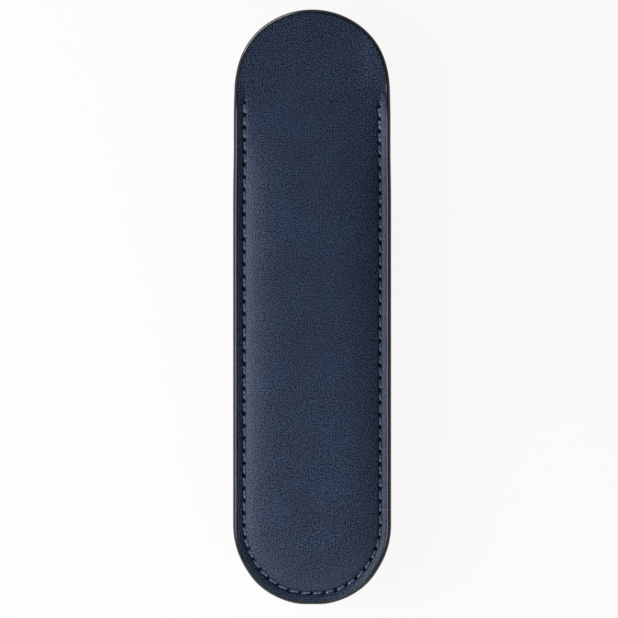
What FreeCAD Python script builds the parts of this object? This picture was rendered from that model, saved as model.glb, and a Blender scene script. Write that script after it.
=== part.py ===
"""Single pen sleeve: a lined leather pocket with a free round tongue above its mouth.

The sleeve lies on its pocket side with its face up. X is its width, Y its length with the tongue at +Y, and Z is up
from the surface it rests on. Every wall is drawn as half of a cross-section, run along the straight sides, turned
round the bottom end and mirrored across the middle.
"""

import FreeCAD, Part
import Sketcher
import math
import os

SIZES = (
    ("overall_length", "170", "tip of the tongue to the bottom end, edge coat included"),
    ("overall_width", "45", "across the sewn sides, edge coat included"),
    ("leather_thickness", "1.3", "face panel and pocket panel"),
    ("lining_thickness", "0.5", "suede lining of both walls"),
    ("coat_thickness", "0.4", "how far the edge paint stands out from the cut layers"),
    ("coat_bevel", "0.5", "the painted edge slopes away to both sides over this height"),
    ("face_crown", "3", "how far the face swells above its border"),
    ("fade_length", "32", "the swell dies out over this length below the tongue"),
    ("pocket_belly", "8.5", "how far the pocket wall swells below its border"),
    ("belly_flat", "7", "width of the flat strip that the sleeve rests on"),
    ("foot_round", "2.5", "hollow round where a swelling wall leaves its border"),
    ("foot_land", "0.45", "flat border between the stitch channel and that round"),
    ("stitch_inset", "3.1", "stitch line inside the outer edge"),
    ("stitch_pitch", "3.5", "wanted distance from needle hole to needle hole"),
    ("stitch_gap", "0.7", "bare needle hole between two stitches"),
    ("stitch_rise", "0.9", "a stitch rises to its full height over this length from its hole"),
    ("thread_width", "0.75", "width of one stitch"),
    ("thread_height", "0.65", "height of one stitch over the floor of its channel"),
    ("stitch_slant", "9", "degrees that each stitch lies across the line of holes"),
    ("channel_width", "1.3", "channel that the stitches lie in"),
    ("channel_depth", "0.45", "depth of that channel"),
    ("tongue_straight", "2.5", "straight sides of the tongue between the mouth and its round tip"),
    ("first_hole", "2.2", "first needle hole below the mouth"),
    ("mouth_scoop", "8", "how far the mouth of the pocket dips in its middle"),
    ("flex_gap", "0.2", "split across the face where the tongue bends"),
    ("overrun", "5", "how far a cut runs past what it cuts"),
)

doc = FreeCAD.newDocument("pen_sleeve")
sheet = doc.addObject("Spreadsheet::Sheet", "sizes")
for row, (alias, value, note) in enumerate(SIZES, start=1):
    sheet.set(f"A{row}", alias)
    sheet.set(f"B{row}", value)
    sheet.setAlias(f"B{row}", alias)
    sheet.set(f"C{row}", note)
doc.recompute()

# Places worked out from the sheet, as expressions. Heights are above the surface that the sleeve rests on.
WALL = "(sizes.leather_thickness + sizes.lining_thickness)"
SEAM_Z = f"(sizes.pocket_belly + {WALL})"
FACE_Z = f"({SEAM_Z} + {WALL})"
OUTER_X = "(sizes.overall_width / 2)"
EDGE_X = f"({OUTER_X} - sizes.coat_thickness)"
STITCH_X = f"({OUTER_X} - sizes.stitch_inset)"
FOOT_X = f"({STITCH_X} - sizes.channel_width / 2 - sizes.foot_land)"
FLAT_X = "(sizes.belly_flat / 2)"
TIP_Y = f"(sizes.overall_length / 2 - {OUTER_X})"
TOE_Y = f"(-{TIP_Y})"
MOUTH_Y = f"({TIP_Y} - sizes.tongue_straight)"
SEWN_END_Y = f"({MOUTH_Y} + sizes.coat_thickness)"
TONGUE_Y = f"({SEWN_END_Y} + sizes.flex_gap)"
FADE_Y = f"({SEWN_END_Y} - sizes.fade_length)"

# The stitch line: straight down each side, then round the bottom end. Counts are whole stitches of about the pitch.
SIDE_RUN = f"({MOUTH_Y} - sizes.first_hole - {TOE_Y})"
SIDE_STITCHES = f"round({SIDE_RUN} / sizes.stitch_pitch)"
SIDE_PITCH = f"({SIDE_RUN} / {SIDE_STITCHES})"
TOE_STITCHES = f"round({STITCH_X} * pi / 2 / sizes.stitch_pitch)"
TOE_STEP = f"(90 / {TOE_STITCHES})"

# The swell of the face dies out through these shares of its crown, evenly spaced along the fade.
FADE_CROWN_SHARES = (1, 0.75, 0.27, 0)


def number(expression):
    """The value of an expression in millimetres, degrees or a count."""
    return float(sheet.evalExpression(expression))


def new_body(name):
    body = doc.addObject("PartDesign::Body", name)
    body.Label = name
    body.AllowCompound = True
    return body


def plane(body, role):
    return next(part for part in body.Origin.OriginFeatures if part.Role == role)


def new_sketch(body, name, role, offset):
    """A sketch on one of the body's own planes, moved along the plane's normal by an expression."""
    sketch = body.newObject("Sketcher::SketchObject", name)
    sketch.AttachmentSupport = [(plane(body, role), "")]
    sketch.MapMode = "FlatFace"
    sketch.setExpression("AttachmentOffset.Base.z", offset)
    return sketch


def cross_section(body, name, y):
    """A sketch across the sleeve at y: its horizontal is X and its vertical is Z."""
    return new_sketch(body, name, "XZ_Plane", f"-({y})")


def arc_between(start, end, radius, side):
    """The shorter arc between two points, drawn anticlockwise. It bulges to the left of the way if side is 1."""
    chord = end - start
    rise = radius - math.sqrt(radius * radius - chord.Length * chord.Length / 4)
    left = FreeCAD.Vector(-chord.y, chord.x, 0).normalize()
    top = (start + end) / 2 + left * rise * side
    return Part.Arc(end, top, start) if side == 1 else Part.Arc(start, top, end)


def draw(sketch, corners, arcs=None):
    """Draws a closed outline through corners, pairs of expressions, and binds every corner to them.

    arcs gives the edges that are arcs, by the number of the corner they start from: an expression for the radius,
    and 1 or -1 for an arc that bulges to the left or to the right on the way to the next corner.
    """
    arcs = arcs or {}
    places = [FreeCAD.Vector(number(x), number(y), 0) for x, y in corners]
    ends = []
    for i, start in enumerate(places):
        end = places[(i + 1) % len(places)]
        radius, side = arcs.get(i, (None, -1))
        if radius:
            edge = sketch.addGeometry(arc_between(start, end, number(radius), side))
        else:
            edge = sketch.addGeometry(Part.LineSegment(start, end))
        ends.append((edge, 2, 1) if side == 1 else (edge, 1, 2))
    for i, (edge, first, last) in enumerate(ends):
        after, after_first, _ = ends[(i + 1) % len(ends)]
        sketch.addConstraint(Sketcher.Constraint("Coincident", edge, last, after, after_first))
        for kind, axis, place in (("DistanceX", -2, corners[i][0]), ("DistanceY", -1, corners[i][1])):
            if place == "0":
                sketch.addConstraint(Sketcher.Constraint("PointOnObject", edge, first, axis))
            else:
                bind(sketch, Sketcher.Constraint(kind, -1, 1, edge, first, number(place)), place)
        if i in arcs:
            bind(sketch, Sketcher.Constraint("Radius", edge, number(arcs[i][0])), arcs[i][0])


def bind(sketch, constraint, expression):
    sketch.setExpression(f"Constraints[{sketch.addConstraint(constraint)}]", expression)


def pad(body, name, sketch, length, reverse=False):
    feature = body.newObject("PartDesign::Pad", name)
    feature.Profile = sketch
    feature.Reversed = reverse
    feature.setExpression("Length", length)
    return feature


def quarter_turn(body, name, sketch, reverse):
    """Turns a cross-section a quarter of the way round the upright axis in its plane."""
    feature = body.newObject("PartDesign::Revolution", name)
    feature.Profile = sketch
    feature.ReferenceAxis = (sketch, ["V_Axis"])
    feature.Angle = 90
    feature.Reversed = reverse
    return feature


def cut_through(body, name, sketch):
    """Cuts an outline right through the body, both ways from its sketch."""
    feature = body.newObject("PartDesign::Pocket", name)
    feature.Profile = sketch
    feature.Type = "ThroughAll"
    feature.Midplane = True
    return feature


def mirror(body, originals):
    """Completes a body that was drawn as its right half."""
    feature = body.newObject("PartDesign::Mirrored", body.Name + "_mirrored")
    feature.Originals = originals
    feature.MirrorPlane = (plane(body, "YZ_Plane"), [""])
    body.Tip = feature


def face_curve(depth, crown):
    """Crest, bend and foot of the swelling face, at a depth under its outer side, with the radii between them."""
    reach = f"(({FOOT_X} ^ 2 + ({crown}) ^ 2) / (2 * {crown}))"
    foot_radius = f"(sizes.foot_round + {depth})"
    crest = ("0", f"{FACE_Z} + {crown} - {depth}")
    bend = (
        f"{FOOT_X} * (1 - {foot_radius} / {reach})",
        f"{FACE_Z} + sizes.foot_round + {foot_radius} * ({crown} / {reach} - 1)",
    )
    foot = (FOOT_X, f"{FACE_Z} - {depth}")
    return (crest, bend, foot), (f"{reach} - sizes.foot_round - {depth}", foot_radius)


def belly_curve(depth):
    """Edge of the flat strip, bend and foot of the swelling pocket wall, at a depth inside its outer side."""
    across = f"({FOOT_X} - {FLAT_X})"
    reach = f"(({across} ^ 2 + sizes.pocket_belly ^ 2) / (2 * sizes.pocket_belly))"
    foot_radius = f"(sizes.foot_round + {depth})"
    strip = (FLAT_X, depth)
    bend = (
        f"{FOOT_X} - {foot_radius} * {across} / {reach}",
        f"sizes.pocket_belly - sizes.foot_round - {foot_radius} * (sizes.pocket_belly / {reach} - 1)",
    )
    foot = (FOOT_X, f"sizes.pocket_belly + {depth}")
    return (strip, bend, foot), (f"{reach} - sizes.foot_round - {depth}", foot_radius)


def channel(border, inward):
    """Corners of the stitch channel, from the middle of the sleeve outward, in a border at a height."""
    near = f"({STITCH_X} - sizes.channel_width / 2)"
    far = f"({STITCH_X} + sizes.channel_width / 2)"
    floor = f"{border} {inward} sizes.channel_depth"
    return ((near, border), (near, floor), (far, floor), (far, border))


def face_section(body, name, y, outer, inner, crown_share, stitched):
    """Half of the section of one layer of the face, between two depths, with a share of the full crown.

    The foot of the swell is rounded where it shows, on the outer side, and a plain slope under it.
    """
    crown = f"({crown_share} * sizes.face_crown)" if crown_share else "sizes.face_crown"
    (crest, bend, foot), top_radii = face_curve(outer, crown)
    (low_crest, low_bend, low_foot), low_radii = face_curve(inner, crown)
    notch = channel(FACE_Z, "-") if stitched else ()
    edge = ((EDGE_X, foot[1]), (EDGE_X, low_foot[1]))
    corners = [crest, bend, foot, *notch, *edge, low_foot, low_bend, low_crest]
    arcs = {}
    if crown_share:
        arcs = {0: (top_radii[0], 1), len(corners) - 2: (low_radii[0], -1)}
        if outer == "0":
            arcs[1] = (top_radii[1], -1)
    else:
        level = {0: foot[1], 1: foot[1], len(corners) - 2: low_foot[1], len(corners) - 1: low_foot[1]}
        corners = [(x, level.get(i, z)) for i, (x, z) in enumerate(corners)]
    sketch = cross_section(body, name, y)
    draw(sketch, corners, arcs)
    return sketch


def make_face_layer(name, outer, inner, stitched):
    """One layer of the sewn part of the face: swollen along its length, flat where it meets the tongue."""
    body = new_body(name)
    steps = len(FADE_CROWN_SHARES) - 1
    toe = face_section(body, name + "_toe_section", TOE_Y, outer, inner, 1, stitched)
    run = pad(body, name + "_run", toe, f"{FADE_Y} - {TOE_Y}", reverse=True)
    turn = quarter_turn(body, name + "_toe", toe, reverse=True)
    sections = []
    for i, share in enumerate(FADE_CROWN_SHARES):
        y = f"({FADE_Y} + sizes.fade_length * {i} / {steps})"
        sections.append(face_section(body, f"{name}_fade_section_{i}", y, outer, inner, share, stitched))
    fade = body.newObject("PartDesign::AdditiveLoft", name + "_fade")
    fade.Profile = sections[0]
    fade.Sections = sections[1:]
    mirror(body, [run, turn, fade])
    return body


def belly_section(body, name, y, outer, inner, stitched):
    """Half of the section of one layer of the pocket wall, between two depths from its outer side.

    The foot of the belly is rounded where it shows, on the outer side, and a plain slope inside.
    """
    (strip, bend, foot), low_radii = belly_curve(outer)
    (top_strip, top_bend, top_foot), top_radii = belly_curve(inner)
    notch = channel("sizes.pocket_belly", "+") if stitched else ()
    edge = ((EDGE_X, foot[1]), (EDGE_X, top_foot[1]))
    middle = ("0", outer)
    corners = [middle, strip, bend, foot, *notch, *edge, top_foot, top_bend, top_strip, ("0", inner)]
    arcs = {1: (low_radii[0], -1), len(corners) - 3: (top_radii[0], 1)}
    if outer == "0":
        arcs[2] = (low_radii[1], 1)
    sketch = cross_section(body, name, y)
    draw(sketch, corners, arcs)
    return sketch


def scoop_outline(rise):
    """The mouth's curve in plan, raised by an expression: its lowest point, its corner and the arc between them."""
    radius = f"(({FOOT_X} ^ 2 + sizes.mouth_scoop ^ 2) / (2 * sizes.mouth_scoop))"
    raised = f"({radius} - {rise})"
    low = ("0", f"{MOUTH_Y} - sizes.mouth_scoop + {rise}")
    corner = (f"sqrt({raised} ^ 2 - ({raised} - sizes.mouth_scoop) ^ 2)", f"{MOUTH_Y} + {rise}")
    return low, corner, (raised, -1)


def cut_mouth(body, name, rise, far_y):
    """Cuts away what lies between the mouth's curve and far_y, over the whole width."""
    low, corner, arc = scoop_outline(rise)
    side = f"({EDGE_X} + sizes.overrun)"
    sketch = new_sketch(body, name + "_outline", "XY_Plane", "0")
    draw(sketch, [low, corner, (side, corner[1]), (side, far_y), ("0", far_y)], {0: arc})
    return cut_through(body, name, sketch)


def make_pocket_layer(name, outer, inner, stitched):
    """One layer of the pocket wall, from its mouth round the bottom end."""
    body = new_body(name)
    toe = belly_section(body, name + "_toe_section", TOE_Y, outer, inner, stitched)
    run = pad(body, name + "_run", toe, f"{MOUTH_Y} - {TOE_Y}", reverse=True)
    turn = quarter_turn(body, name + "_toe", toe, reverse=True)
    mouth = cut_mouth(body, name + "_mouth", "0", f"({MOUTH_Y} + sizes.overrun)")
    mirror(body, [run, turn, mouth])
    return body


def make_mouth_coat(name):
    """The painted rim of the pocket's mouth: a band that follows the mouth's curve through both layers."""
    body = new_body(name)
    start = f"({MOUTH_Y} - sizes.mouth_scoop - sizes.overrun)"
    section = belly_section(body, name + "_section", start, "0", WALL, False)
    run = pad(body, name + "_run", section, f"{SEWN_END_Y} - {start}", reverse=True)
    below = cut_mouth(body, name + "_below", "0", f"({start} - sizes.overrun)")
    above = cut_mouth(body, name + "_above", "sizes.coat_thickness", f"({SEWN_END_Y} + sizes.overrun)")
    mirror(body, [run, below, above])
    return body


def make_bead(name, low_z, section_y, length, toward_toe):
    """The coat on an edge: along a straight side up to section_y, then a quarter of the way round an end."""
    body = new_body(name)
    section = cross_section(body, name + "_section", section_y)
    low = (OUTER_X, f"{low_z} + sizes.coat_bevel")
    high = (OUTER_X, f"{FACE_Z} - sizes.coat_bevel")
    draw(section, [(EDGE_X, low_z), low, high, (EDGE_X, FACE_Z)])
    run = pad(body, name + "_run", section, length, reverse=toward_toe)
    turn = quarter_turn(body, name + "_turn", section, reverse=toward_toe)
    mirror(body, [run, turn])
    return body


def make_tongue_layer(name, outer, inner):
    """One layer of the flat tongue, between two depths under the face."""
    body = new_body(name)
    outline = new_sketch(body, name + "_outline", "XY_Plane", f"{FACE_Z} - {inner}")
    corners = [("0", TONGUE_Y), (EDGE_X, TONGUE_Y), (EDGE_X, TIP_Y), ("0", f"{TIP_Y} + {EDGE_X}")]
    draw(outline, corners, {2: (EDGE_X, -1)})
    layer = pad(body, name + "_layer", outline, f"{inner} - {outer}")
    mirror(body, [layer])
    return body


def stitch_places():
    """Middle and heading of every stitch, on both sides and round the bottom end."""
    line_x = number(STITCH_X)
    toe_y = number(TOE_Y)
    pitch = number(SIDE_PITCH)
    step = number(TOE_STEP)
    for side in (-1, 1):
        for i in range(int(number(SIDE_STITCHES))):
            yield side * line_x, toe_y + (i + 0.5) * pitch, 0
        for i in range(int(number(TOE_STITCHES))):
            turned = -side * (i + 0.5) * step
            spoke = FreeCAD.Rotation(FreeCAD.Vector(0, 0, 1), turned).multVec(FreeCAD.Vector(side * line_x, 0, 0))
            yield spoke.x, toe_y + spoke.y, turned


def make_thread(name, floor, up, slant):
    """A line of stitches in its channel: each is a bar on the channel's floor that slopes down to both its holes."""
    half_length = (number(SIDE_PITCH) - number("sizes.stitch_gap")) / 2
    half_top = half_length - number("sizes.stitch_rise")
    height = up * number("sizes.thread_height")
    width = number("sizes.thread_width")
    profile = ((-half_length, 0), (-half_top, height), (half_top, height), (half_length, 0), (-half_length, 0))
    outline = Part.makePolygon([FreeCAD.Vector(-width / 2, y, z) for y, z in profile])
    bar = Part.Face(outline).extrude(FreeCAD.Vector(width, 0, 0))
    stitches = []
    for x, y, heading in stitch_places():
        stitch = bar.copy()
        stitch.Placement = FreeCAD.Placement(
            FreeCAD.Vector(x, y, number(floor)),
            FreeCAD.Rotation(FreeCAD.Vector(0, 0, 1), heading + slant),
        )
        stitches.append(stitch)
    thread = doc.addObject("Part::Feature", name)
    thread.Label = name
    thread.Shape = Part.makeCompound(stitches)
    thread.Placement = FreeCAD.Placement()
    return thread


LEATHER = "sizes.leather_thickness"
SLANT = number("sizes.stitch_slant")

nodes = [
    make_face_layer("face_panel", "0", LEATHER, stitched=True),
    make_face_layer("face_lining", LEATHER, WALL, stitched=False),
    make_pocket_layer("pocket_panel", "0", LEATHER, stitched=True),
    make_pocket_layer("pocket_lining", LEATHER, WALL, stitched=False),
    make_thread("needle_thread", f"{FACE_Z} - sizes.channel_depth", 1, SLANT),
    make_thread("bobbin_thread", "sizes.pocket_belly + sizes.channel_depth", -1, -SLANT),
    make_bead("seam_edge_coat", "sizes.pocket_belly", TOE_Y, f"{SEWN_END_Y} - {TOE_Y}", toward_toe=True),
    make_mouth_coat("mouth_edge_coat"),
    make_tongue_layer("tongue_panel", "0", LEATHER),
    make_tongue_layer("tongue_lining", LEATHER, WALL),
    make_bead("tongue_edge_coat", SEAM_Z, TIP_Y, f"{TIP_Y} - {TONGUE_Y}", toward_toe=False),
]
doc.recompute()

for item in doc.Objects:
    if "Invalid" in item.State or "Error" in item.State:
        raise RuntimeError(f"{item.Label} failed: {item.State}")
for node in nodes:
    if node.Shape.isNull() or not node.Shape.isValid():
        raise RuntimeError(f"{node.Label} has no valid shape")

os.makedirs("parts", exist_ok=True)
for node in nodes:
    node.Shape.exportStep(f"parts/{node.Label}.step")
    box = node.Shape.BoundBox
    print(
        f"{node.Label}: {len(node.Shape.Solids)} solids, {node.Shape.Volume:.1f} mm3,",
        f"x {box.XMin:.2f} to {box.XMax:.2f}, y {box.YMin:.2f} to {box.YMax:.2f}, z {box.ZMin:.2f} to {box.ZMax:.2f}",
    )
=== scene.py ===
# %% [markdown]
# # A single pen sleeve in navy leather
# The real object is a flat pocket for one pen. A long panel of leather with two round ends makes the
# whole face. Behind it lies a shorter panel, sewn on along both sides and round the bottom end, which
# is called the toe here. The part of the face above the sewing stands free as a tongue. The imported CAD
# model already has the right sizes, so every piece made here starts from the CAD's own numbers and ends
# in the same place.

import math

import bpy
import numpy as np
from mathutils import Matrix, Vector, noise


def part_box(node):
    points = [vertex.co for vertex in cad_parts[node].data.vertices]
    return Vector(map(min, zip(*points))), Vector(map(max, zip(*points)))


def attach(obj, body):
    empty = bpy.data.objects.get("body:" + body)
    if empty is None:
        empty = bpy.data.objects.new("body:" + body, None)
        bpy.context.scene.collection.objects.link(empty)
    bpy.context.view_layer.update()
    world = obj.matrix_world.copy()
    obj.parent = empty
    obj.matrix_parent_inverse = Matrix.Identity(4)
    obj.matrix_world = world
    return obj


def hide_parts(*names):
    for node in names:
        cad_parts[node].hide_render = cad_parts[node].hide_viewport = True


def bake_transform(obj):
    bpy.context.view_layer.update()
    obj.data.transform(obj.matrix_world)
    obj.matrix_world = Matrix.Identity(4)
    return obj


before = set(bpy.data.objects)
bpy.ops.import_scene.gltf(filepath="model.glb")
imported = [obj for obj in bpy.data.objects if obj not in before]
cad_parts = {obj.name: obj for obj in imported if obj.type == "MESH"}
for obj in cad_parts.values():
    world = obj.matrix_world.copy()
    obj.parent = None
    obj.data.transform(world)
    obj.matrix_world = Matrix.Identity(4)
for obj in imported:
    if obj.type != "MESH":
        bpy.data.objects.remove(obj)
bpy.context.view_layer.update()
scene = bpy.context.scene
scene.view_settings.view_transform = "Standard"
print("CAD nodes:", ", ".join(sorted(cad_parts)))

# %% [markdown]
# ## Sizes
# Blender counts in metres, but leather goods are thought of in millimetres. So all shapes are worked
# out in millimetres and turned into metres when a mesh is written. What the CAD knows is read from the
# boxes of its nodes. Only what it leaves to the dressing, such as the depth of a needle hole, gets a
# number of its own further on.

# %% Sizes read from the CAD, in millimetres
# A millimetre in metres, and a distance in millimetres that counts as none.
MM = 0.001
TINY = 0.001


def node_box(node):
    """Lowest and highest corner of a CAD node."""
    low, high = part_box(node)
    return low / MM, high / MM


face_low, face_high = node_box("face_panel")
tongue_low, tongue_high = node_box("tongue_panel")
bead_low, bead_high = node_box("seam_edge_coat")

# Distances from the middle line of the sleeve.
CUT_EDGE = face_high.x
PAINT_EDGE = bead_high.x
# Heights above the table, and thicknesses.
FACE_BORDER = tongue_high.z
POCKET_BORDER = bead_low.z
SEAM = node_box("tongue_lining")[0].z
LEATHER = tongue_high.z - tongue_low.z
SUEDE = tongue_low.z - SEAM
# Places along the sleeve: the middles of both round ends, the mouth, and the line where the tongue bends.
TOE = face_low.y + CUT_EDGE
TIP = tongue_high.y - CUT_EDGE
MOUTH = node_box("pocket_panel")[1].y
MOUTH_DIP = MOUTH - node_box("mouth_edge_coat")[0].y
FLEX = face_high.y
print(f"leather {LEATHER:.2f} mm, suede {SUEDE:.2f} mm, straight sides from {TOE:.1f} to {TIP:.1f} mm")

# %% [markdown]
# ## The line of stitches
# One seam runs down the left side, round the bottom end and up the right side, a few millimetres inside
# the edge. The sewing was done by machine, so its holes are evenly spaced, but the two ends of the seam
# don't start at quite the same height. Everything along the seam, in leather and in thread, is placed
# by these few numbers.

# %% Places of the seam
STITCH_INSET = 3.2
STITCH_LINE = PAINT_EDGE - STITCH_INSET
SIDE_STITCHES = 34
TURN_STITCHES = 18
LEFT_HOLE = 58.4
RIGHT_HOLE = 57.1
PITCH = (LEFT_HOLE - TOE) / SIDE_STITCHES
ROWS_PER_STITCH = 10
SEWN_ROWS = SIDE_STITCHES * ROWS_PER_STITCH
TURN_ROWS = TURN_STITCHES * ROWS_PER_STITCH


def first_hole(x):
    """Height of the top needle hole, which falls a little from the left side to the right side."""
    return LEFT_HOLE + (RIGHT_HOLE - LEFT_HOLE) * (x / CUT_EDGE + 1) / 2


print(f"{2 * SIDE_STITCHES + TURN_STITCHES} stitches, {PITCH:.2f} mm from hole to hole")

# %% [markdown]
# ## Helpers that read and move vertices
# Modelling by hand means picking vertices and moving them. These helpers do the same in code: one reads
# all vertices into an array, one writes them back, and one selects some of them for the next edit-mode
# operator.

# %% Read, write and select vertices


def points(piece):
    """The piece's vertices in millimetres, as rows of x, y and z."""
    flat = np.empty(len(piece.data.vertices) * 3, dtype=np.float32)
    piece.data.vertices.foreach_get("co", flat)
    return flat.reshape(-1, 3).astype(float) / MM


def put_points(piece, places):
    """Writes vertices back that were worked out in millimetres."""
    piece.data.vertices.foreach_set("co", (places * MM).astype(np.float32).ravel())
    piece.data.update()


def select(piece, chosen):
    """Selects these vertices, and the edges that join two of them."""
    ends = np.empty(len(piece.data.edges) * 2, dtype=np.int32)
    piece.data.edges.foreach_get("vertices", ends)
    piece.data.polygons.foreach_set("select", np.zeros(len(piece.data.polygons), dtype=bool))
    piece.data.edges.foreach_set("select", chosen[ends.reshape(-1, 2)].all(axis=1))
    piece.data.vertices.foreach_set("select", chosen)


def turn_outward():
    """Makes all faces of the active object point outwards."""
    bpy.ops.object.mode_set(mode="EDIT")
    bpy.ops.mesh.select_all(action="SELECT")
    bpy.ops.mesh.normals_make_consistent(inside=False)
    bpy.ops.object.mode_set(mode="OBJECT")


# %% Curves that many shapes share


def smooth(share):
    """An S-curve from 0 to 1."""
    share = np.clip(share, 0, 1)
    return share * share * (3 - 2 * share)


def bell(distance, width):
    """A soft bump: 1 at no distance, about a third at one width."""
    return np.exp(-((distance / width) ** 2))


# %% [markdown]
# ## Cutting a sheet
# A panel is cut from a flat hide, so it starts as a flat grid. The grid covers the straight part, and
# the row at each round end is spun half a turn about the middle of that end, as a compass would draw
# it. Spinning gives rings that follow the outline, which is what a seam needs. The flat sheet is then
# extruded into a thin closed slab, and its rings and rows are slid to where detail is wanted: close
# together at the seam, wide apart in the middle.

# %% Cut a flat slab with round ends
SLAB = 1.0


def cut_sheet(name, top, rings, rows, turn_steps, round_top):
    """A flat slab: until it is shaped, its upper side lies at height 0 and its lower side at -SLAB."""
    bpy.ops.object.select_all(action="DESELECT")
    middle = (0, (TOE + top) / 2 * MM, 0)
    bpy.ops.mesh.primitive_grid_add(
        x_subdivisions=2 * rings, y_subdivisions=rows, size=1, location=middle,
    )
    sheet = bpy.context.object
    sheet.name = name
    sheet.scale = (2 * CUT_EDGE * MM, (top - TOE) * MM, 1)
    bpy.ops.object.transform_apply(location=True, rotation=True, scale=True)
    ends = [(TOE, math.pi), (top, -math.pi)] if round_top else [(TOE, math.pi)]
    for y, turn in ends:
        places = points(sheet)
        select(sheet, (abs(places[:, 1] - y) < TINY) & (places[:, 0] > -TINY))
        bpy.ops.object.mode_set(mode="EDIT")
        bpy.ops.mesh.spin(steps=turn_steps, angle=turn, center=(0, y * MM, 0), axis=(0, 0, 1))
        bpy.ops.mesh.select_all(action="SELECT")
        bpy.ops.mesh.remove_doubles(threshold=TINY * MM)
        bpy.ops.object.mode_set(mode="OBJECT")
    bpy.ops.object.mode_set(mode="EDIT")
    bpy.ops.mesh.select_all(action="SELECT")
    bpy.ops.mesh.extrude_region_move(TRANSFORM_OT_translate={"value": (0, 0, -SLAB * MM)})
    bpy.ops.object.mode_set(mode="OBJECT")
    turn_outward()
    return sheet


# %% Slide the rings and rows to their places
FOOT = STITCH_LINE - 1.1
DIP_START = 20.0


def mouth_line(x):
    """Height of the pocket's mouth: level over the seams, and dipped in a shallow arc between them."""
    radius = (FOOT**2 + MOUTH_DIP**2) / (2 * MOUTH_DIP)
    inside = np.minimum(abs(x), FOOT)
    return MOUTH - MOUTH_DIP + radius - np.sqrt(radius**2 - inside**2)


def slide(sheet, top, rows, ring_shares, ring_places, sewn=True, dipped=False):
    """Regrades a slab. Returns its points, how far out they lie, and their place along the seam.

    How far out is the distance from the middle line, or from the middle of a round end. The place along the
    seam counts stitches from the start of the round bottom end, so needle holes lie at whole numbers.
    """
    places = points(sheet)
    x, y = places[:, 0], places[:, 1]
    past = np.where(y < TOE, y - TOE, np.maximum(y - top, 0))
    even = np.hypot(x, past)
    out = np.interp(even / CUT_EDGE, ring_shares, ring_places)
    stretch = np.divide(out, even, out=np.ones_like(out), where=even > TINY)
    x, past = x * stretch, past * stretch
    row = np.clip((y - TOE) / (top - TOE), 0, 1) * rows
    straight = TOE + (top - TOE) * row / rows
    if sewn:
        hole = first_hole(x)
        straight = np.where(
            row <= SEWN_ROWS,
            TOE + (hole - TOE) * row / SEWN_ROWS,
            hole + (top - hole) * (row - SEWN_ROWS) / (rows - SEWN_ROWS),
        )
    if dipped:
        share = np.clip((straight - DIP_START) / (top - DIP_START), 0, None)
        straight = np.where(share > 0, DIP_START + share * (mouth_line(x) - DIP_START), straight)
    turned = np.degrees(np.arctan2(-past, abs(x)))
    along = np.where(past < 0, -turned / 180 * TURN_STITCHES, row / ROWS_PER_STITCH)
    shaped = np.column_stack((x, straight + past, places[:, 2]))
    return shaped, out, along


# %% Lift both sides of a slab


def shape_slab(sheet, places, upper_side, lower_side):
    """Lifts both sides of a slab to their heights. Returns which points belong to the upper one."""
    upper = places[:, 2] > -SLAB / 2
    places[:, 2] = np.where(upper, upper_side, lower_side)
    put_points(sheet, places)
    return upper


# %% [markdown]
# ## The face panel
# This is the piece the photograph shows: one panel of smooth calf leather from the bottom end to the
# tip of the tongue. It swells like a shallow pillow over the pocket, dips into a groove under the
# stitches, rises again towards its edge, and lies nearly flat on the tongue. A cloth simulation could
# blow up the pillow, but moulded leather keeps a calm, known curve. So its height is worked out point
# by point: broad swell, roll along the seam, groove, needle holes, puckers and the faint unevenness of
# a real hide are simply added up.

# %% The slow waves of a hide
HIDE_WAVE = 0.03
WAVE_SIZES = (9.0, 23.0)


def hide_wave(x, y):
    """The slow rise and fall of a hide that never lies quite flat."""
    height = np.zeros_like(x)
    for size in WAVE_SIZES:
        height += [noise.noise(Vector((a / size, b / size, size))) for a, b in zip(x, y)]
    return HIDE_WAVE * height


# %% The marks of sewing, shared by both leather panels
GROOVE_DEPTH = 0.4
GROOVE_WIDTH = 0.48
# How much painted shade the groove gets, as a share of a needle hole's.
GROOVE_PAINTED_SHADE = 0.12
HOLE_DEPTH = 0.7
HOLE_WIDTH = 0.33
PUCKER = 0.09
# Beside each hole the leather is drawn in on both sides of the line. These are a pucker's length along the
# seam, how far outside the line it lies, its width, and its share of the depth.
INNER_PUCKER = (0.9, -1.1, 0.8, 1.0)
OUTER_PUCKER = (0.7, 0.9, 0.5, 0.6)


def seam_marks(out, along, sewn):
    """Depth of the groove, holes and puckers, and the painted shade that they get, for points beside the
    seam.
    """
    to_hole = (along - np.round(along)) * PITCH
    to_line = out - STITCH_LINE
    groove = bell(to_line, GROOVE_WIDTH)
    hole = bell(to_hole, HOLE_WIDTH) * bell(to_line, HOLE_WIDTH)
    depth = GROOVE_DEPTH * groove + HOLE_DEPTH * hole
    for length, place, width, share in (INNER_PUCKER, OUTER_PUCKER):
        depth += PUCKER * share * bell(to_hole, length) * bell(to_line - place, width)
    return sewn * depth, sewn * np.clip(hole + GROOVE_PAINTED_SHADE * groove, 0, 1)


def paint_seam_shade(sheet, painted_shade):
    """Keeps with the mesh the painted shade of the seam at each point, which darkens the leather's colour."""
    painted_shade_mark = sheet.data.attributes.new("seam_painted_shade", "FLOAT", "POINT")
    painted_shade_mark.data.foreach_set("value", painted_shade.astype(np.float32))


# %% The border beside the seam, and its cut edge
LAP = 0.9
BORDER_START = 0.25
BORDER_WIDTH = 2.2
BORDER_POWER = 1.15
EDGE_ROUND = 0.8
CREASE = 0.07
CREASE_INSET = 0.05
CREASE_WIDTH = 0.16


def border(out):
    """How far a border has risen from the seam, from 0 to 1: steeply at first, and then less and less."""
    inside = np.minimum(out, CUT_EDGE - LAP)
    share = np.clip((inside - STITCH_LINE - BORDER_START) / BORDER_WIDTH, 0, 1)
    return 1 - (1 - share) ** BORDER_POWER


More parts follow.
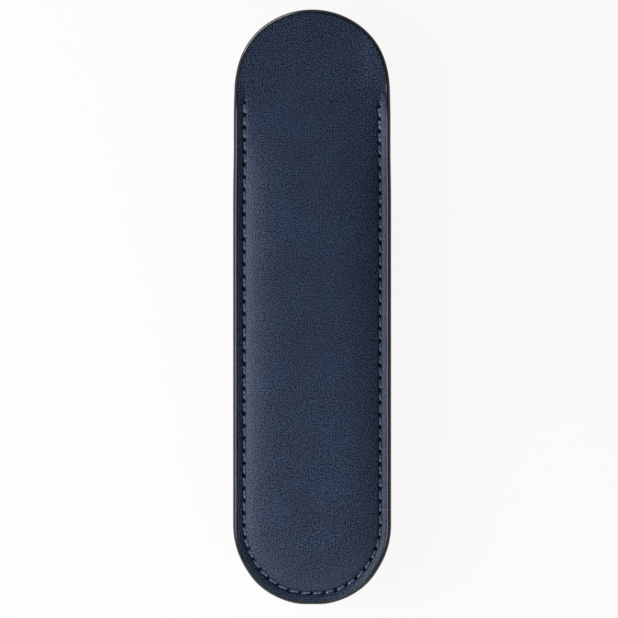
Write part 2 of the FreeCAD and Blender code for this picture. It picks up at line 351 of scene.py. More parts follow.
def rounding(out):
    """How far a round edge has fallen: from 0, where the paint starts to lap over it, to 1 at the cut."""
    over = np.clip((out - CUT_EDGE + LAP) / LAP, 0, 1)
    return 1 - np.sqrt(1 - over**2)


def cut_round(out, crease):
    """How far the leather falls at its edge, and in the crease that the edge iron left beside the paint."""
    ironed = bell(out - CUT_EDGE + LAP + CREASE_INSET, CREASE_WIDTH)
    return crease * ironed + EDGE_ROUND * rounding(out)


# %% The swell of the face
FACE_FOOT = STITCH_LINE + 0.15
CROWN = 1.9
CROWN_POWER = 4.2
CROWN_END = 64.0
CROWN_FADE = 34.0
ROLL = 0.18
ROLL_REACH = 0.8
ROLL_FADE = ((30.5, 50.5, 58.4, 66.2), (1, 0.75, 0.4, 0))


def face_swell(out, y):
    """The pillow of the face without any sewing: a broad crown and a roll beside the seam."""
    crown = np.clip(1 - (out / FACE_FOOT) ** CROWN_POWER, 0, None)
    crown = CROWN * smooth((CROWN_END - y) / CROWN_FADE) * crown
    roll = 1 - np.exp(-np.clip(FACE_FOOT - out, 0, None) / ROLL_REACH)
    roll = ROLL * np.interp(y, *ROLL_FADE) * roll
    return FACE_BORDER + crown + roll


# %% The flare of the border and the curl of the tongue
GROOVE_FADE = 2.0
FLARE = 1.0
FLARE_END = 7.0
FLARE_FADE = 10.0
TOE_CUP = 0.6
TOE_CUP_FADE = 15.0
TONGUE_CURL = 0.8
CURL_START = 12.0
CURL_REACH = 10.0
CURL_RISE = 7.0
CURL_END = 84.0
CURL_FADE = 10.0


def sewn_share(x, y):
    """1 beside the stitches, dying out a little above the first of them."""
    return smooth(1 - (y - first_hole(x)) / GROOVE_FADE)


def flared_share(x, y):
    """1 beside the stitches, where the border flares up, dying out along the sides of the tongue."""
    return smooth((first_hole(x) + FLARE_END - y) / FLARE_FADE)


def flare(x, y):
    """How far the border stands up beside the seam. It cups most round the toe and dies on the tongue."""
    return FLARE * flared_share(x, y) * (1 + TOE_CUP * smooth((TOE - y) / TOE_CUP_FADE))


def tongue_curl(x, y):
    """How far the right side of the tongue curls up, between the bend and the tip."""
    across = smooth((x - CURL_START) / CURL_REACH)
    return TONGUE_CURL * across * smooth((y - FLEX) / CURL_RISE) * smooth((CURL_END - y) / CURL_FADE)


# %% Make the face leather
FACE_RINGS = 36
FACE_ROWS = SEWN_ROWS + 14
FACE_RING_SHARES = (0, 10 / FACE_RINGS, 16 / FACE_RINGS, 1)
FACE_RING_PLACES = (0, 13.0, 17.4, CUT_EDGE)


def make_face():
    """The whole face: its pillow, the border beside the seam, and the tongue."""
    sheet = cut_sheet("face_leather", TIP, FACE_RINGS, FACE_ROWS, TURN_ROWS, round_top=True)
    places, out, along = slide(sheet, TIP, FACE_ROWS, FACE_RING_SHARES, FACE_RING_PLACES)
    x, y = places[:, 0], places[:, 1]
    depth, painted_shade = seam_marks(out, along, y < first_hole(x) + TINY)
    groove_end = sewn_share(x, y) * GROOVE_DEPTH * bell(out - STITCH_LINE, GROOVE_WIDTH)
    depth = np.maximum(depth, groove_end)
    body = face_swell(out, y) + tongue_curl(x, y)
    edge = flare(x, y) * border(out) - cut_round(out, CREASE * flared_share(x, y))
    upper = shape_slab(sheet, places, body + edge - depth + hide_wave(x, y), body - LEATHER)
    paint_seam_shade(sheet, np.where(upper, painted_shade, 0))
    return sheet


face_leather = make_face()
print("face leather:", len(face_leather.data.polygons), "faces")

# %% [markdown]
# ## The pocket panel
# The back of the sleeve is a second panel of the same leather, moulded round the pen so that it bellies
# out. It is cut and sewn just like the face, only upside down, and it stops at the mouth in a shallow
# scoop that lets a finger reach the pen. Its curve repeats the CAD's: a flat strip to lie on, a round
# flank and a hollow foot at the border.

# %% Height of the pocket wall
STRIP = 3.5
FOOT_ROUND = 2.5


def belly(out, depth):
    """Height of the pocket wall at a depth inside its outer side."""
    across = FOOT - STRIP
    reach = (across**2 + POCKET_BORDER**2) / (2 * POCKET_BORDER)
    flank = reach - FOOT_ROUND - depth
    foot = FOOT_ROUND + depth
    bend = FOOT - foot * across / reach
    flank_rise = np.sqrt(np.clip(flank**2 - np.maximum(out - STRIP, 0) ** 2, 0, None))
    foot_rise = np.sqrt(np.clip(foot**2 - np.maximum(FOOT - out, 0) ** 2, 0, None))
    return np.where(out < bend, depth + flank - flank_rise, POCKET_BORDER + depth - foot + foot_rise)


# %% Make the pocket leather
POCKET_ROWS = SEWN_ROWS + 6
POCKET_FLARE = FLARE / 2
STRIP_FADE = 6.0


def make_pocket():
    """The pocket wall, which stays flat on the strip that it lies on."""
    sheet = cut_sheet("pocket_leather", MOUTH, FACE_RINGS, POCKET_ROWS, TURN_ROWS, round_top=False)
    places, out, along = slide(
        sheet, MOUTH, POCKET_ROWS, FACE_RING_SHARES, FACE_RING_PLACES, dipped=True,
    )
    x, y = places[:, 0], places[:, 1]
    depth, painted_shade = seam_marks(out, along, y < first_hole(x) + TINY)
    wave = smooth((out - STRIP) / STRIP_FADE) * hide_wave(x, y)
    outer = belly(out, 0) - POCKET_FLARE * border(out) + cut_round(out, CREASE) + depth + wave
    upper = shape_slab(sheet, places, belly(out, LEATHER), outer)
    paint_seam_shade(sheet, np.where(upper, 0, painted_shade))
    return sheet


pocket_leather = make_pocket()
print("pocket leather:", len(pocket_leather.data.polygons), "faces")

# %% [markdown]
# ## The suede linings
# Both walls are lined with thin split suede, glued to the back of the leather. It only shows inside the
# pocket and on the back of the tongue, and it has no sewing marks there, so a coarser slab is enough.
# It simply follows the inner side of its leather.

# %% Line both walls
LINING_RINGS = 16
LINING_ROWS = 110
LINING_STEPS = 60
LINING_SHARES = (0, 12 / LINING_RINGS, 1)
LINING_PLACES = (0, CUT_EDGE - LAP, CUT_EDGE)
SUEDE_ROUND = 0.45


def make_lining(name, top, round_top, heights):
    """A lining slab. heights gives its upper and its lower side from how far out and where points lie."""
    sheet = cut_sheet(name, top, LINING_RINGS, LINING_ROWS, LINING_STEPS, round_top)
    places, out, _ = slide(
        sheet, top, LINING_ROWS, LINING_SHARES, LINING_PLACES, sewn=False, dipped=not round_top,
    )
    upper_side, lower_side = heights(out, places[:, 0], places[:, 1])
    shape_slab(sheet, places, upper_side, lower_side)
    return sheet


def under_face(out, x, y):
    """The suede of the face, whose lower edge is skived round so that the paint can lap over it."""
    leather = face_swell(out, y) + tongue_curl(x, y) - LEATHER
    return leather, leather - SUEDE + SUEDE_ROUND * rounding(out)


def inside_pocket(out, x, y):
    """The suede of the pocket, which lies on the inner side of the wall at every place alike."""
    return belly(out, LEATHER + SUEDE), belly(out, LEATHER)


face_suede = make_lining("face_suede", TIP, True, under_face)
pocket_suede = make_lining("pocket_suede", MOUTH, False, inside_pocket)
print("linings:", len(face_suede.data.polygons) + len(pocket_suede.data.polygons), "faces")

# %% [markdown]
# ## Bars that follow a path
# Edge paint and thread are both long and thin. Each starts as a sphere, because a sphere is already
# ruled into rings and sides and closed at both ends. A place is worked out for every ring and side,
# which draws the sphere out into a bar along its path and gives it its section in one go.

# %% Draw a bar along a path


def make_bar(name, sides, rows, place):
    """A closed bar. place takes arrays of row shares from 0 to 1 and side numbers and gives points."""
    bpy.ops.object.select_all(action="DESELECT")
    bpy.ops.mesh.primitive_uv_sphere_add(segments=sides, ring_count=rows + 1, radius=MM)
    bar = bpy.context.object
    bar.name = name
    x, y, z = points(bar).T
    ring = np.round(np.arccos(np.clip(z, -1, 1)) / math.pi * (rows + 1)).astype(int)
    side = np.round(np.arctan2(y, x) / (2 * math.pi) * sides).astype(int) % sides
    places = place(np.clip((ring - 1) / (rows - 1), 0, 1), side)
    for pole, next_ring in ((0, 1), (rows + 1, rows)):
        places[ring == pole] = places[ring == next_ring].mean(axis=0)
    put_points(bar, places)
    turn_outward()
    return bar


# %% [markdown]
# ## Painted edges
# The cut layers of leather and suede would fray, so their edges are sealed with several coats of thick
# paint, which dries to a rounded dark bead that laps a little over both sides. The bead of the sewn
# part covers four layers, the tongue's only two, and a third runs along the mouth of the pocket. The
# section of the first two is a letter C round the cut edge. The tongue's bead starts a little below the
# line where the tongue bends and stands a hair proud of the other one, so that no gap opens when it
# bends.

# %% Section of the bead
CORNER_POINTS = 7
BEAD_SIDES = 2 * CORNER_POINTS + 4
FROM_TOP = np.array([False] * CORNER_POINTS + [True] * (CORNER_POINTS + 2) + [False] * 2)
LIP_DROP = 0.2
THIN_LAP = 0.72
TONGUE_INSET = 0.1


def bead_section(edge, lap, lip, corner, power):
    """Two rows: how far out each side of the bead lies, and how far inside the bead's top or bottom.

    The sides run from the bottom over the rounded outside to the top, and back down along the cut leather.
    FROM_TOP says which of them are measured from the top.
    """
    turn = np.radians(np.linspace(90, 0, CORNER_POINTS))
    inner = CUT_EDGE - lap
    crest = inner + lip
    out = crest + (edge - crest) * np.cos(turn).clip(0) ** (2 / power)
    drop = corner * (1 - np.sin(turn) ** (2 / power))
    cut = [inner, CUT_EDGE, CUT_EDGE, inner]
    cut_drop = [LIP_DROP, EDGE_ROUND, EDGE_ROUND, LIP_DROP]
    return np.array((np.r_[out, out[::-1], cut], np.r_[drop, drop[::-1], cut_drop]))


SIDE_BEAD = bead_section(PAINT_EDGE, LAP, lip=0.3, corner=1.2, power=1.5)
TOE_BEAD = bead_section(PAINT_EDGE, THIN_LAP, lip=0.2, corner=1.2, power=1.5)
TONGUE_BEAD = bead_section(PAINT_EDGE - TONGUE_INSET, THIN_LAP, lip=0.1, corner=0.8, power=1.25)
print("bead sections of", BEAD_SIDES, "sides")

# %% Place a bead along the outline
BEAD_CHANGE = 10.0
FILM = 0.1


def place_bead(side, angle, y, low, proud=0.0):
    """Points of a bead whose path stands at an angle and a height y, from low up to the border's top.

    Along the sides the bead is round and steep, and round the toe its lap is narrower. On the tongue it gets
    flatter, like a chamfer, and thin underneath.
    """
    place = y + CUT_EDGE * np.sin(angle)
    on_toe = smooth((TOE - place) / BEAD_CHANGE)
    on_tongue = smooth((place - FLEX) / BEAD_CHANGE)
    straight, toe, tongue = SIDE_BEAD[:, side], TOE_BEAD[:, side], TONGUE_BEAD[:, side]
    out, drop = straight + (toe - straight) * on_toe + (tongue - straight) * on_tongue
    x, y = (out + proud) * np.cos(angle), y + (out + proud) * np.sin(angle)
    curl = tongue_curl(x, y)
    high = FACE_BORDER + flare(x, y) * border(CUT_EDGE - LAP) + curl + FILM + proud - drop
    low = low + curl + drop * (1 - on_tongue / 2)
    return np.column_stack((x, y, np.where(FROM_TOP[side], high, low)))


def round_an_end(row, run):
    """A walk along one side, round an end and back: how far from the round part, and the angle turned."""
    turn = math.pi * CUT_EDGE
    walk = row * (2 * run + turn)
    away = np.where(walk < run, run - walk, np.clip(walk - run - turn, 0, None))
    return away, np.clip(walk - run, 0, turn) / CUT_EDGE


# %% Paint the sewn edge and the tongue's edge
SEAM_STEPS = 300
TONGUE_STEPS = 160
OVERLAP = 2.0
OVERLAP_PROUD = 0.02


def seam_bead(row, side):
    """From the left end of the seam down, round the bottom end and up to the right end."""
    away, turned = round_an_end(row, FLEX - TOE)
    low = POCKET_BORDER - POCKET_FLARE * border(CUT_EDGE - LAP) - FILM
    return place_bead(side, math.pi + turned, TOE + away, low)


def tongue_bead(row, side):
    """From the left end of the tongue up, round its tip and down to the right end."""
    away, turned = round_an_end(row, TIP - FLEX + OVERLAP)
    return place_bead(side, math.pi - turned, TIP - away, SEAM - FILM, OVERLAP_PROUD)


seam_edge_paint = make_bar("seam_edge_paint", BEAD_SIDES, SEAM_STEPS, seam_bead)
tongue_edge_paint = make_bar("tongue_edge_paint", BEAD_SIDES, TONGUE_STEPS, tongue_bead)
print("edge paint:", len(seam_edge_paint.data.polygons) + len(tongue_edge_paint.data.polygons), "faces")

# %% Paint the rim of the mouth
RIM_SIDES = 12
RIM_STEPS = 96
RIM_BULGE = 0.4
RIM_LAP = 0.5
RIM_FILM = 0.04
SLOPE_STEP = 0.01


def mouth_bead(row, side):
    """Along the mouth from left to right, round the cut edge of the leather and its lining."""
    x = CUT_EDGE * (2 * row - 1)
    middle = (LEATHER + SUEDE) / 2
    beside = abs(x) + SLOPE_STEP
    slope = (belly(beside, middle) - belly(abs(x), middle)) / SLOPE_STEP
    fall = (mouth_line(beside) - mouth_line(abs(x))) / SLOPE_STEP
    lean, face = np.arctan(slope * np.sign(x)), np.arctan(fall * np.sign(x))
    turn = 2 * math.pi * side / RIM_SIDES
    across = (middle + RIM_FILM) * np.sin(turn)
    forward = np.where(np.cos(turn) > 0, RIM_BULGE, RIM_LAP) * np.cos(turn)
    return np.column_stack((
        x - across * np.sin(lean) - forward * np.sin(face),
        mouth_line(x) + forward * np.cos(face),
        belly(abs(x), middle) + across * np.cos(lean),
    ))


mouth_edge_paint = make_bar("mouth_edge_paint", RIM_SIDES, RIM_STEPS, mouth_bead)
print("mouth paint:", len(mouth_edge_paint.data.polygons), "faces")

# %% [markdown]
# ## The stitches
# A lockstitch shows as a row of short slanted bars. Each is a bit of three-ply thread that comes up
# through one needle hole, lies tight in the groove and dives into the next hole. One stitch is modelled
# as a twisted six-sided bar, three corners high and three low, so that it reads as three plies. It is
# then copied along the seam, and the last stitches at both ends are sewn twice to lock the thread.

# %% Model one stitch
STITCH_SIDES = 6
STITCH_STEPS = 8
STITCH_LENGTH = 3.1
STITCH_LIFT = 0.22
STITCH_DIVE = 0.8
DIVE_POWER = 6
STITCH_SLANT = math.tan(math.radians(9))
THREAD_RADIUS = 0.34
PLY_TWIST = 2.4
PLY_HOLLOW = 0.78
END_TAPER = 0.25
TAPER_POWER = 3


def stitch_shape(row, side):
    """A stitch along Y, measured from the level of the border: arched, slanted and twisted."""
    share = 2 * row - 1
    turn = 2 * math.pi * side / STITCH_SIDES + PLY_TWIST * share
    ply = np.where(side % 2 == 0, 1.0, PLY_HOLLOW)
    radius = THREAD_RADIUS * ply * (1 - END_TAPER * abs(share) ** TAPER_POWER)
    lift = STITCH_LIFT - STITCH_DIVE * abs(share) ** DIVE_POWER - GROOVE_DEPTH
    y = share * STITCH_LENGTH / 2
    return np.column_stack((radius * np.cos(turn) - y * STITCH_SLANT, y, lift + radius * np.sin(turn)))


# %% Copy it along the seam
DOUBLED = 3
SECOND_ASIDE = 0.34
SECOND_SINK = 0.017


def seam_places():
    """Middle, heading and doubling of every stitch, from the top of each side to the middle of the toe."""
    for side, hole in ((-1, LEFT_HOLE), (1, RIGHT_HOLE)):
        pitch = (hole - TOE) / SIDE_STITCHES
        for i in range(SIDE_STITCHES):
            yield side * STITCH_LINE, hole - (i + 0.5) * pitch, 0.0, i < DOUBLED
        step = math.pi / TURN_STITCHES
        for i in range(TURN_STITCHES // 2):
            turned = (i + 0.5) * step
            x = side * STITCH_LINE * math.cos(turned)
            yield x, TOE - STITCH_LINE * math.sin(turned), -side * turned, False


def sew(name, level, up):
    """One line of stitches at the level of a border. up is 1 on the face and -1 on the pocket side."""
    stitch = make_bar(name, STITCH_SIDES, STITCH_STEPS, stitch_shape)
    model_x, model_y, model_z = points(stitch).T
    copies = []
    for x, y, heading, doubled in seam_places():
        for second in range(2 if doubled else 1):
            copy = stitch.copy()
            copy.data = stitch.data.copy()
            scene.collection.objects.link(copy)
            aside = model_x * up + second * math.copysign(SECOND_ASIDE, x)
            turned_x = aside * math.cos(heading) - model_y * math.sin(heading)
            turned_y = aside * math.sin(heading) + model_y * math.cos(heading)
            height = level + up * (model_z - second * SECOND_SINK)
            put_points(copy, np.column_stack((x + turned_x, y + turned_y, height)))
            copies.append(copy)
    bpy.data.objects.remove(stitch)
    bpy.ops.object.select_all(action="DESELECT")
    for copy in copies:
        copy.select_set(True)
    bpy.context.view_layer.objects.active = copies[0]
    bpy.ops.object.join()
    thread = bpy.context.object
    thread.name = name
    turn_outward()
    return thread


needle_stitches = sew("needle_stitches", FACE_BORDER, 1)
bobbin_stitches = sew("bobbin_stitches", POCKET_BORDER, -1)
print("thread:", len(needle_stitches.data.polygons) + len(bobbin_stitches.data.polygons), "faces")

# %% [markdown]
# ## The cut of the outline
# The sleeve was cut and trimmed by hand, so its outline isn't drawn with a compass. It narrows a little
# towards the mouth, where the second layer ends. The tip of the tongue and the toe are slightly fuller
# than a half circle, and the toe is a touch squarer. The same gentle push is given to every piece, so
# that they stay together.

# %% Ease the outline
TRIM = 0.004
# Each of these is an amount, the height where it starts to come in, and the length over which it does so. A
# negative length runs down towards the toe. All are shares of the width, apart from the last, in millimetres.
TAPER = (-0.008, 30.0, 16.0)
NECK = (-0.011, 54.0, 12.0)
TIP_FULLNESS = (0.022, 66.0, 16.0)
TOE_FULLNESS = (0.022, -74.0, -9.0)
TOE_SQUARE = (0.25, -72.0, -8.0)
SQUARE_MIDDLE = 3.0
SMOOTH_ANGLE = 50


def ease(y, amount, start, length):
    """The part of an amount that has come in at height y."""
    return amount * smooth((y - start) / length)


pieces = [
    face_leather, face_suede, pocket_leather, pocket_suede, needle_stitches, bobbin_stitches,
    seam_edge_paint, tongue_edge_paint, mouth_edge_paint,
]
for piece in pieces:
    places = points(piece)
    y = places[:, 1]
    changes = [ease(y, *change) for change in (TAPER, NECK, TIP_FULLNESS, TOE_FULLNESS)]
    places[:, 0] *= 1 + TRIM + sum(changes)
    places[:, 1] -= ease(y, *TOE_SQUARE) * (1 - bell(places[:, 0], SQUARE_MIDDLE))
    put_points(piece, places)
    bpy.ops.object.select_all(action="DESELECT")
    piece.select_set(True)
    bpy.context.view_layer.objects.active = piece
    bpy.ops.object.shade_smooth_by_angle(angle=math.radians(SMOOTH_ANGLE))
print("widest place:", round(points(seam_edge_paint)[:, 0].max() * 2, 2), "mm")

# %% [markdown]
# ## Colours and nodes
# Colours are given as sRGB hex values, but shaders add light in linear values, so one
# function turns the first into the second. Another small function adds a shader node, sets it and links
# it. The nodes that come up again and again get a helper each, which keeps each material short enough
# to read from top to bottom.

# %% Helpers for materials


def linear(code):
    """A hex colour as the linear values that shaders use, by the curve of the sRGB standard."""
    shares = [int(code[i:i + 2], 16) / 255 for i in (1, 3, 5)]
    return [s / 12.92 if s <= 0.04045 else ((s + 0.055) / 1.055) ** 2.4 for s in shares] + [1.0]


def add_node(tree, kind, inputs=None, **settings):
    """Adds a node. inputs maps a socket's name or number to a value, or to the output of another node."""
    node = tree.nodes.new(kind)
    for name, value in settings.items():
        setattr(node, name, value)
    for name, value in (inputs or {}).items():
        if isinstance(value, bpy.types.NodeSocket):
            tree.links.new(value, node.inputs[name])
        else:
            node.inputs[name].default_value = value
    return node


def new_material(name):
    """A material whose tree of nodes is still empty."""
    material = bpy.data.materials.new(name)
    material.use_nodes = True
    material.node_tree.nodes.clear()
    return material, material.node_tree


def finish_material(tree, inputs):
    """Ends a material with a shader that has these inputs."""
    shader = add_node(tree, "ShaderNodeBsdfPrincipled", inputs)
    add_node(tree, "ShaderNodeOutputMaterial", {"Surface": shader.outputs["BSDF"]})


# %% Helpers for patterns


def per_metre(size):
    """Scale of a pattern on coordinates in metres whose cells are that many millimetres wide."""
    return 1 / (size * MM)


def add_noise(tree, place, size, detail):
    """A noise whose blotches are size millimetres wide."""
    inputs = {"Vector": place, "Scale": per_metre(size), "Detail": detail}
    return add_node(tree, "ShaderNodeTexNoise", inputs)


def add_math(tree, operation, *values):
    """The result of a sum, such as ADD or MAXIMUM."""
    return add_node(tree, "ShaderNodeMath", dict(enumerate(values)), operation=operation).outputs[0]


def add_range(tree, value, span, result=(0.0, 1.0)):
    """Turns a span of values into another one. What lies outside the span stops at its ends."""
    inputs = {
        "Value": value, "From Min": span[0], "From Max": span[1], "To Min": result[0], "To Max": result[1],
    }
    return add_node(tree, "ShaderNodeMapRange", inputs).outputs["Result"]


def add_ramp(tree, value, dark, light, span=(0.0, 1.0)):
    """Turns a span of values into colours from dark to light."""
    ramp = add_node(tree, "ShaderNodeValToRGB", {"Fac": value})
    for stop, position, code in zip(ramp.color_ramp.elements, span, (dark, light)):
        stop.position = position
        stop.color = linear(code)
    return ramp.outputs["Color"]


def add_bump(tree, height, strength, depth):
    """A bump that is depth millimetres high where the height is 1."""
    inputs = {"Height": height, "Strength": strength, "Distance": depth * MM}
    return add_node(tree, "ShaderNodeBump", inputs).outputs["Normal"]


# %% [markdown]
# ## Calf leather
# The leather is drum-dyed navy calf with a thin satin finish. Its grain is a fine net of pebbles, less
# than half a millimetre wide. Its sparkle of tiny lights and darks is partly the grain's own tone and
# partly painted light: painted highlights on the pebbles and painted shade between them, over slow
# clouds where the dye took differently. The needle holes and the seam groove get painted shade from the
# attribute made with the mesh.

# %% Navy calf leather
# Widths of the patterns, and how far the pebbles wander and rise, in millimetres.
GRAIN = 0.43
PORE = 0.22
CLOUD = 14.0
WANDER = 1.6
WANDER_REACH = 0.2
GRAIN_DEPTH = 0.05
# How unevenly the pebbles are scattered, from 0 to 1.
GRAIN_SCATTER = 0.85
# Spans of a pattern's values, and what they are turned into.
DOME_SPAN = (0.1, 0.55)
SPECK_SPAN = (0.68, 1.32)
CLOUD_SPAN = (0.3, 0.7)
CLOUD_SHADES = (0.9, 1.1)
SATIN = (0.38, 0.48)


def make_leather():
    """Pebbles and pores together are the grain. It gives the bump, and the colour: the grain's own tone with
    painted highlights on the pebbles and painted shade between them.
    """
    material, tree = new_material("navy_calf_leather")
    place = add_node(tree, "ShaderNodeTexCoord").outputs["Object"]
    wander = add_noise(tree, place, WANDER, detail=1.0).outputs["Color"]
    reach = [WANDER_REACH * MM] * 3
    bent = add_node(
        tree, "ShaderNodeVectorMath", {0: wander, 1: reach, 2: place}, operation="MULTIPLY_ADD",
    ).outputs[0]
    pebble = add_node(
        tree, "ShaderNodeTexVoronoi",
        {"Vector": bent, "Scale": per_metre(GRAIN), "Randomness": GRAIN_SCATTER}, voronoi_dimensions="2D",
    ).outputs["Distance"]
    dome = add_range(tree, pebble, DOME_SPAN, (1.0, 0.0))
    pore = add_noise(tree, place, PORE, detail=1.0).outputs["Fac"]
    cloud = add_noise(tree, place, CLOUD, detail=3.0).outputs["Fac"]
    height = add_math(tree, "ADD", pore, dome)
    # The grain's colour is partly the leather's own tone and partly painted light: painted highlights on the
    # pebbles and painted shade in the pits between them.
    grain_tone_and_painted_sparkle = add_ramp(tree, add_range(tree, height, SPECK_SPAN), "#001A36", "#4C5872")
    uneven = add_range(tree, cloud, CLOUD_SPAN, CLOUD_SHADES)
    grained = add_node(
        tree, "ShaderNodeMixRGB", {"Fac": 1.0, "Color1": grain_tone_and_painted_sparkle, "Color2": uneven}, blend_type="MULTIPLY",
    ).outputs[0]
    # Painted shade: the needle holes and the seam groove are mixed towards near black by the mesh's
    # attribute.
    painted_shade_mark = add_node(tree, "ShaderNodeAttribute", attribute_name="seam_painted_shade").outputs["Fac"]
    colour_with_painted_shade = add_node(
        tree, "ShaderNodeMixRGB", {"Fac": painted_shade_mark, "Color1": grained, "Color2": linear("#05070B")},
    ).outputs[0]
    finish_material(tree, {
        "Base Color": colour_with_painted_shade, "Roughness": add_range(tree, pore, (0.0, 1.0), SATIN),
        "Normal": add_bump(tree, height, 1.0, GRAIN_DEPTH), "Specular IOR Level": 0.33,
    })
    return material


navy_leather = make_leather()
print("made", navy_leather.name)

# %% [markdown]
# ## Edge paint, thread and suede
# The edge paint is an acrylic that dries nearly black and half glossy, so it shows a thin bright line
# where it turns to the light. The thread is bonded polyester, lighter than the leather and slightly
# shiny along its plies. The suede is leather's fuzzy side: matt, mottled where the nap was brushed both
# ways, and pale at a grazing angle.

# %% Dark edge paint
BRUSH = 1.5
BRUSH_DEPTH = 0.1


def make_edge_paint():
    """Half-glossy paint with the faint waves that the brush left."""
    material, tree = new_material("acrylic_edge_paint")
    place = add_node(tree, "ShaderNodeTexCoord").outputs["Object"]
    brush = add_noise(tree, place, BRUSH, detail=2.0).outputs["Fac"]
    finish_material(tree, {
        "Base Color": add_ramp(tree, brush, "#0B0C10", "#16181E"), "Roughness": 0.22,
        "Normal": add_bump(tree, brush, 0.15, BRUSH_DEPTH), "Specular IOR Level": 0.3,
    })
    return material


edge_paint = make_edge_paint()
print("made", edge_paint.name)

# %% Navy thread
FIBRE = 0.12
FIBRE_DEPTH = 0.04


def make_thread_material():
    """Polyester with a fine mottle of fibres. The plies themselves are in the mesh."""
    material, tree = new_material("bonded_polyester_thread")
    place = add_node(tree, "ShaderNodeTexCoord").outputs["Object"]
    fibre = add_noise(tree, place, FIBRE, detail=2.0).outputs["Fac"]
    finish_material(tree, {
        "Base Color": add_ramp(tree, fibre, "#586580", "#818EA8"), "Roughness": 0.45,
        "Normal": add_bump(tree, fibre, 0.3, FIBRE_DEPTH), "Sheen Weight": 0.15, "Sheen Roughness": 0.4,
    })
    return material


navy_thread = make_thread_material()
print("made", navy_thread.name)

# %% Navy suede
# Real nap is finer than this. It is drawn as coarse as it needs to be to show in the render.
NAP = 0.7
NAP_DEPTH = 0.3
BRUSHED = 6.0
BRUSHED_SHARE = 0.6
SUEDE_SPAN = (0.62, 0.98)


def make_suede():
    """Nap that was brushed this way and that."""
    material, tree = new_material("navy_split_suede")
    place = add_node(tree, "ShaderNodeTexCoord").outputs["Object"]
    nap = add_noise(tree, place, NAP, detail=4.0).outputs["Fac"]
    brushed = add_noise(tree, place, BRUSHED, detail=3.0).outputs["Fac"]
    mottle = add_math(tree, "MULTIPLY_ADD", brushed, BRUSHED_SHARE, nap)
    finish_material(tree, {
        "Base Color": add_ramp(tree, mottle, "#171D2B", "#364259", SUEDE_SPAN), "Roughness": 0.95,
        "Normal": add_bump(tree, nap, 0.8, NAP_DEPTH), "Specular IOR Level": 0.1,
        "Sheen Weight": 0.35, "Sheen Roughness": 0.5,
    })
    return material


navy_suede = make_suede()
print("made", navy_suede.name)

# %% [markdown]
# ## Putting the pieces on the sleeve's body
# Each piece takes its material, and the CAD nodes that it stands for are hidden. Most pieces are put on
# the sleeve's body. Face leather, its lining and the tongue's bead cross the line where the tongue bends,
# so they are only set in place in the world, on no body. The leather and suede panels are flat sheets by
# trade, so their cut sizes are printed.

dressing = (
    (face_leather, navy_leather, "navy_leather", ("face_panel", "tongue_panel")),
    (face_suede, navy_suede, "suede_lining", ("face_lining", "tongue_lining")),
    (pocket_leather, navy_leather, "navy_leather", ("pocket_panel",)),
    (pocket_suede, navy_suede, "suede_lining", ("pocket_lining",)),
    (needle_stitches, navy_thread, "navy_thread", ("needle_thread",)),
    (bobbin_stitches, navy_thread, "navy_thread", ("bobbin_thread",)),
    (seam_edge_paint, edge_paint, "edge_paint", ("seam_edge_coat",)),
    (tongue_edge_paint, edge_paint, "edge_paint", ("tongue_edge_coat",)),
    (mouth_edge_paint, edge_paint, "edge_paint", ("mouth_edge_coat",)),
)
for piece, material, slot, nodes in dressing:
    piece.data.materials.clear()
    piece.data.materials.append(material)
    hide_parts(*nodes)
    if piece in (face_leather, face_suede, tongue_edge_paint):
        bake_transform(piece)
    else:
        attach(piece, "sleeve")
print("dressed", len(dressing), "pieces")

# %% Flat sizes of the sheets
# What a half circle cuts off the square corners of a sheet's end, as a share of its width squared.
OFF_ROUND_END = (1 - math.pi / 4) / 2
GIRTH_STEPS = 400


def declare(sheet, width, length, area):
    print(f"{sheet.name}: {width:.1f} x {length:.1f} mm, {area / 100:.1f} square cm")


def declare_face(sheet):
    """The face is cut to its outline, with two round ends."""
    width = 2 * CUT_EDGE
    length = TIP - TOE + width
    declare(sheet, width, length, width * length - 2 * OFF_ROUND_END * width**2)


def declare_pocket(sheet, depth):
    """The pocket wall is cut as wide as the way over its belly, with one round end and the mouth's scoop."""
    across = np.linspace(0, CUT_EDGE, GIRTH_STEPS)
    girth = np.hypot(np.diff(across), np.diff(belly(across, depth))).sum()
    width = 2 * girth
    length = MOUTH - TOE + girth
    scoop = 2 * CUT_EDGE * (MOUTH - mouth_line(across)).mean()
    declare(sheet, width, length, width * length - OFF_ROUND_END * width**2 - scoop)


declare_face(face_leather)
declare_face(face_suede)
declare_pocket(pocket_leather, LEATHER / 2)
declare_pocket(pocket_suede, LEATHER + SUEDE / 2)

# %% [markdown]
# ## Studio
# The sleeve lies on a white table and is seen from straight above with a long lens. A large softbox at
# the left gives the shine along the left slopes. A weak one beyond the toe lifts the lower end, and a
# thin strip close to the table, at the upper left, draws the bright line on the painted edge of the
# tongue. The room is pale near the horizon and dim overhead, so that the flat of the leather stays
# dark, as it does under a photographer's ceiling.

# %% Floor
FLOOR_SIZE = 20.0
# The camera sees this share of pure white. The rest is lit paper, which keeps a faint shadow.
GLOW_SHARE = 0.9
PAPER = "#F3F3F3"
WHITE = "#FFFFFF"


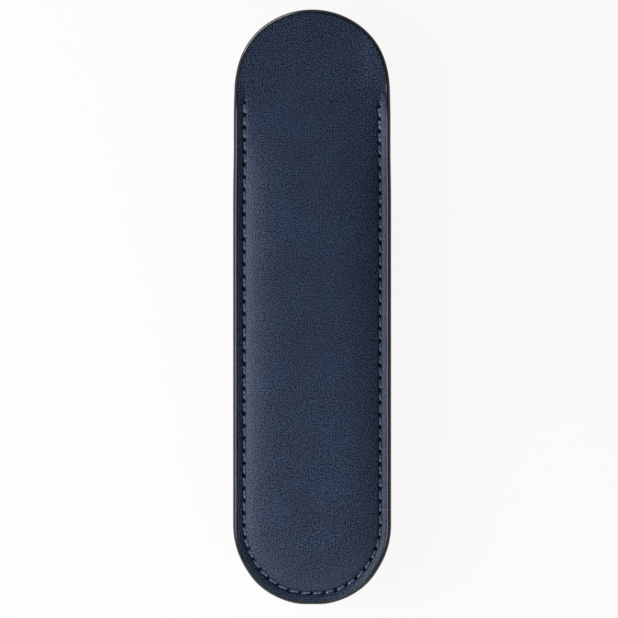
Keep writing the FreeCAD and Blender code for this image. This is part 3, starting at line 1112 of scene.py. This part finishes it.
def make_paper():
    """Paper that looks white to the camera and in reflections, and is matt paper to all other light."""
    material, tree = new_material("white_paper")
    rays = add_node(tree, "ShaderNodeLightPath").outputs
    seen = add_math(tree, "MAXIMUM", rays["Is Camera Ray"], rays["Is Glossy Ray"])
    seen = add_math(tree, "MAXIMUM", seen, rays["Is Transmission Ray"])
    share = add_math(tree, "MULTIPLY", seen, GLOW_SHARE)
    matt = add_node(tree, "ShaderNodeBsdfDiffuse", {"Color": linear(PAPER)})
    white = add_node(tree, "ShaderNodeEmission", {"Color": linear(WHITE), "Strength": 1.0})
    mixed = add_node(tree, "ShaderNodeMixShader", {0: share, 1: matt.outputs[0], 2: white.outputs[0]})
    add_node(tree, "ShaderNodeOutputMaterial", {"Surface": mixed.outputs[0]})
    return material


bpy.ops.mesh.primitive_plane_add(size=FLOOR_SIZE, location=(0, 0, 0))
floor = bpy.context.object
floor.name = "floor"
floor.data.materials.append(make_paper())
print("floor", FLOOR_SIZE, "m wide")

# %% Room light
# The brightness falls from the first level to the second between these heights, which count 1 overhead.
WALL_HEIGHTS = (0.1, 0.6)
WALL_LEVELS = (1.0, 0.06)
WINDOW_SIDE = (-0.94, 0.34, 0)
SIDE_LEVELS = (0.68, 0.85)


def make_room():
    """A white room that is brightest at the horizon, and a little brighter on its window side."""
    room = bpy.data.worlds.new("room")
    room.use_nodes = True
    tree = room.node_tree
    tree.nodes.clear()
    direction = add_node(tree, "ShaderNodeTexCoord").outputs["Generated"]
    up = add_node(tree, "ShaderNodeSeparateXYZ", {0: direction}).outputs["Z"]
    window = add_node(
        tree, "ShaderNodeVectorMath", {0: direction, 1: WINDOW_SIDE}, operation="DOT_PRODUCT",
    ).outputs["Value"]
    wall = add_range(tree, up, WALL_HEIGHTS, WALL_LEVELS)
    side = add_range(tree, window, (-1.0, 1.0), SIDE_LEVELS)
    level = add_math(tree, "MULTIPLY", wall, side)
    background = add_node(tree, "ShaderNodeBackground", {"Color": linear(WHITE), "Strength": level})
    add_node(tree, "ShaderNodeOutputWorld", {"Surface": background.outputs[0]})
    return room


scene.world = make_room()
print("room light is dim overhead and pale at the horizon, most of all on the window side")

# %% Softboxes


def add_softbox(name, bearing, height, distance, width, depth, power):
    """An area light that looks at the sleeve from a bearing and a height, both in degrees."""
    bearing, height = math.radians(bearing), math.radians(height)
    toward = Vector((
        math.cos(bearing) * math.cos(height), math.sin(bearing) * math.cos(height), math.sin(height),
    ))
    bpy.ops.object.light_add(type="AREA", location=toward * distance)
    lamp = bpy.context.object
    lamp.name = name
    lamp.data.shape = "RECTANGLE"
    lamp.data.size = width
    lamp.data.size_y = depth
    lamp.data.energy = power
    lamp.rotation_mode = "QUATERNION"
    lamp.rotation_quaternion = toward.to_track_quat("Z", "Y")


add_softbox("main_softbox", bearing=181, height=31, distance=0.45, width=0.28, depth=0.25, power=1.75)
add_softbox("fill_softbox", bearing=270, height=36, distance=0.26, width=0.4, depth=0.16, power=0.26)
add_softbox("rim_strip", bearing=124, height=5.5, distance=0.7, width=0.6, depth=0.08, power=2.9)
print("softboxes at the left, beyond the toe and, low down, at the upper left")

# %% Camera straight above
LENS = 100.0
SENSOR = 36.0
FIELD = 177.1
AIM_X = -0.9
AIM_Y = -0.72
CLIP_START = 0.01

distance = FIELD * LENS / SENSOR
bpy.ops.object.camera_add(
    location=(AIM_X * MM, AIM_Y * MM, (SEAM + distance) * MM), rotation=(0, 0, 0),
)
camera = bpy.context.object
camera.data.lens = LENS
camera.data.sensor_width = SENSOR
camera.data.clip_start = CLIP_START
scene.camera = camera
print(f"camera {distance:.0f} mm above the seam")
